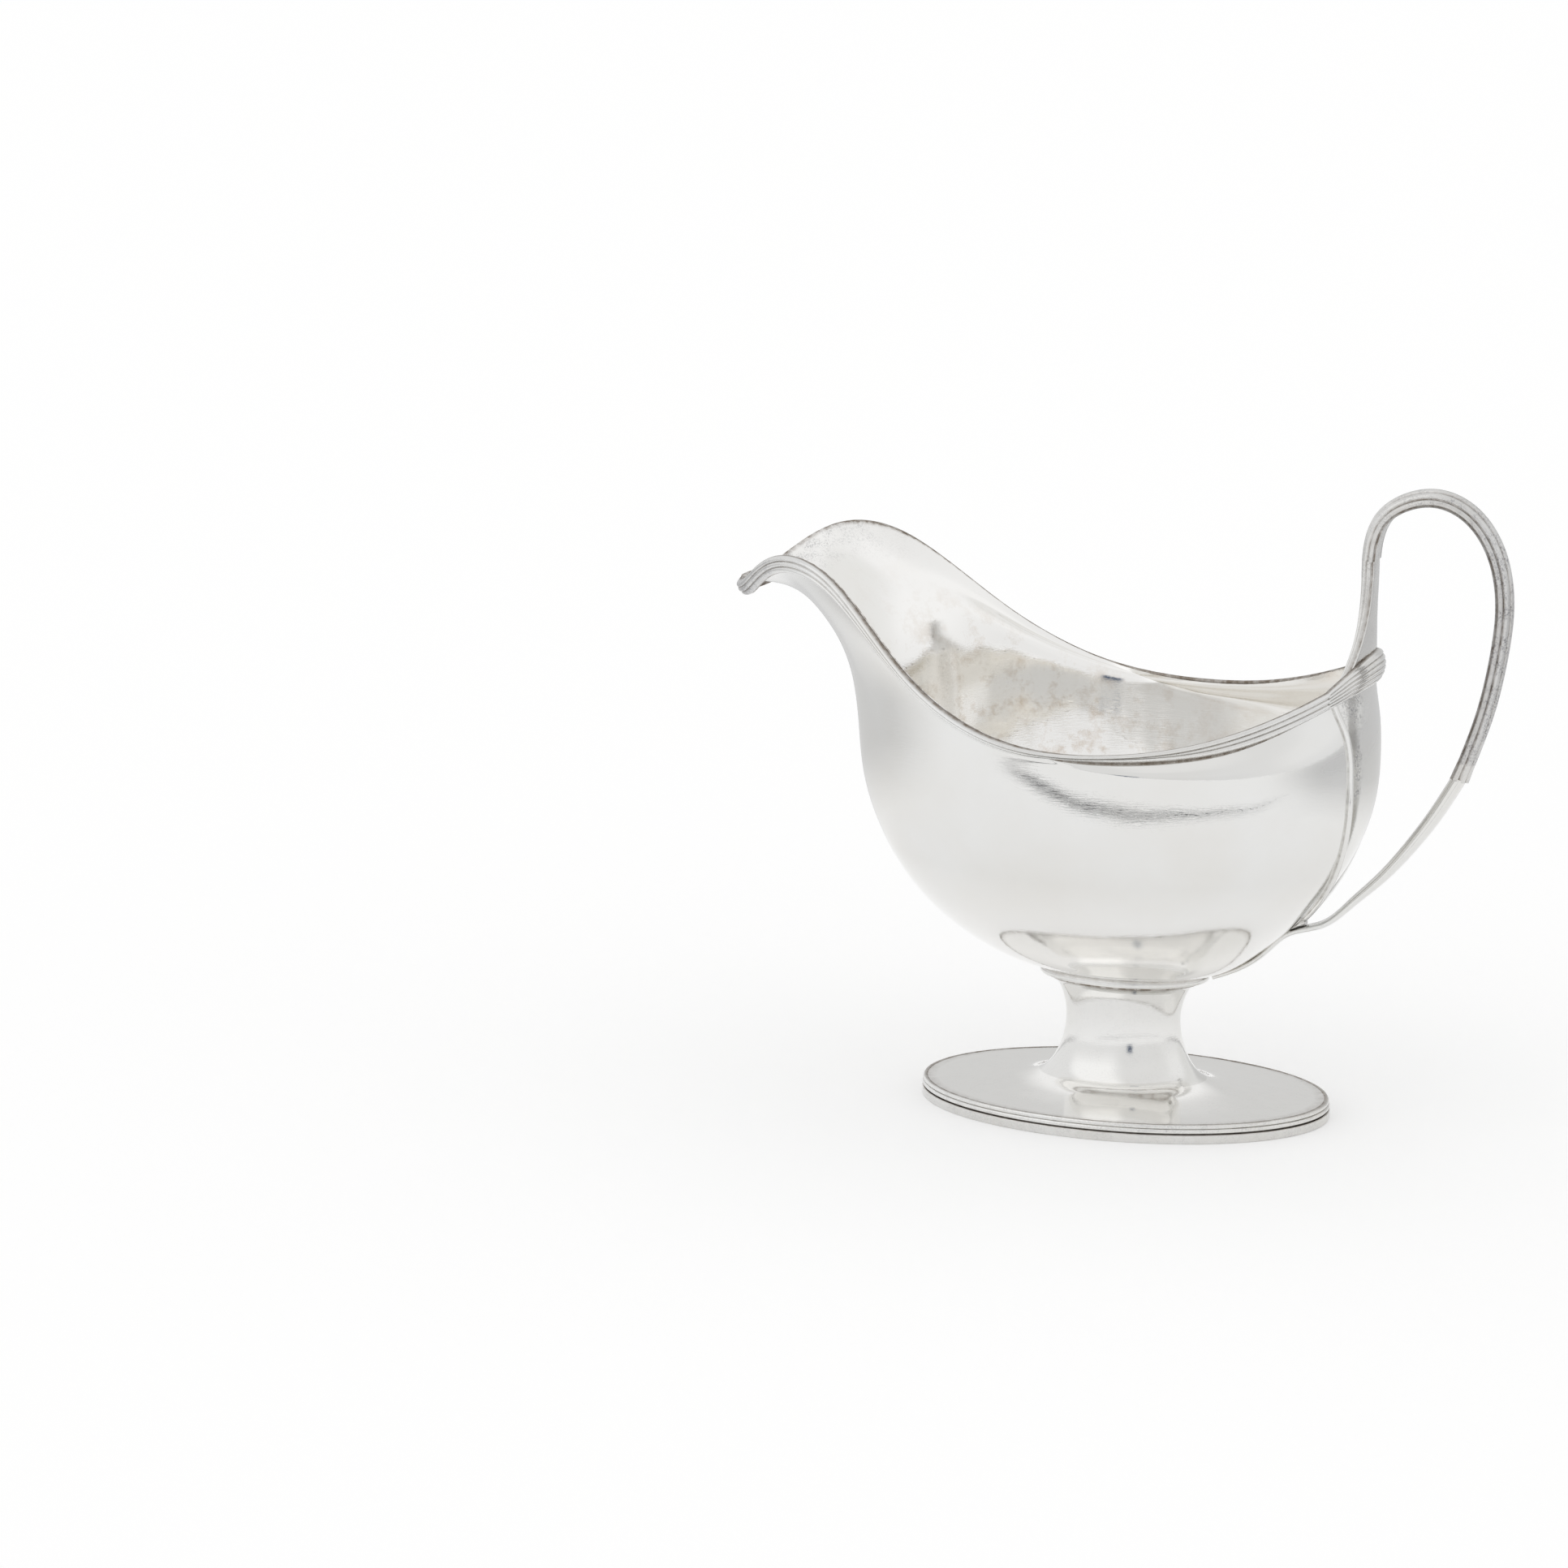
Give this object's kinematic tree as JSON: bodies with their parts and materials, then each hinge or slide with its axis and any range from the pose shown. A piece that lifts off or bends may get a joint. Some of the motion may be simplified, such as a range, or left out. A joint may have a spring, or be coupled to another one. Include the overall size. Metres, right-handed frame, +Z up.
{
  "type": "sauce boat",
  "caption": "Silver oval sauce boat with a rolled pouring lip, reeded rim, high loop handle and an oval pedestal foot.",
  "frame": {"origin": "middle of the whole length and width, at the plane the foot stands on", "axes": "+Z up, the pouring lip along -X and the handle along +X, +Y across the bowl"},
  "size_m": [0.219, 0.118, 0.1802],
  "materials": {
    "bowl": "polished silver, hand burnished with a faint hammered wave",
    "back_panel": "polished silver with small dull grey patches",
    "wire": "polished silver wire with brown tarnish along the solder line",
    "rim_moulding": "reeded silver, bright ribs and dark grooves, worn satin on the lip",
    "back_band": "reeded silver bead with tarnish along its upper edge",
    "handle_root": "polished silver",
    "handle_loop": "reeded silver strap, bright ribs with grey worn speckle",
    "handle_tail": "polished silver with brown tarnish at the joints",
    "foot_collar": "silver lip with dotted tarnish in the seam",
    "pedestal": "polished silver with fine scratches",
    "foot_edge": "reeded silver edge with a dark tarnished groove"
  },
  "bodies": {
    "root": {"bowl": "bowl", "back_panel": "back_panel", "panel_wire_left": "wire", "panel_wire_right": "wire", "rim_moulding_left": "rim_moulding", "rim_moulding_right": "rim_moulding", "back_band": "back_band", "handle_root": "handle_root", "handle_loop": "handle_loop", "handle_step": "handle_tail", "handle_tail": "handle_tail", "handle_saddle": "handle_tail", "foot_collar": "foot_collar", "pedestal": "pedestal", "foot_reed_upper": "foot_edge", "foot_reed_lower": "foot_edge", "base_band": "foot_edge"}
  },
  "joints": []
}
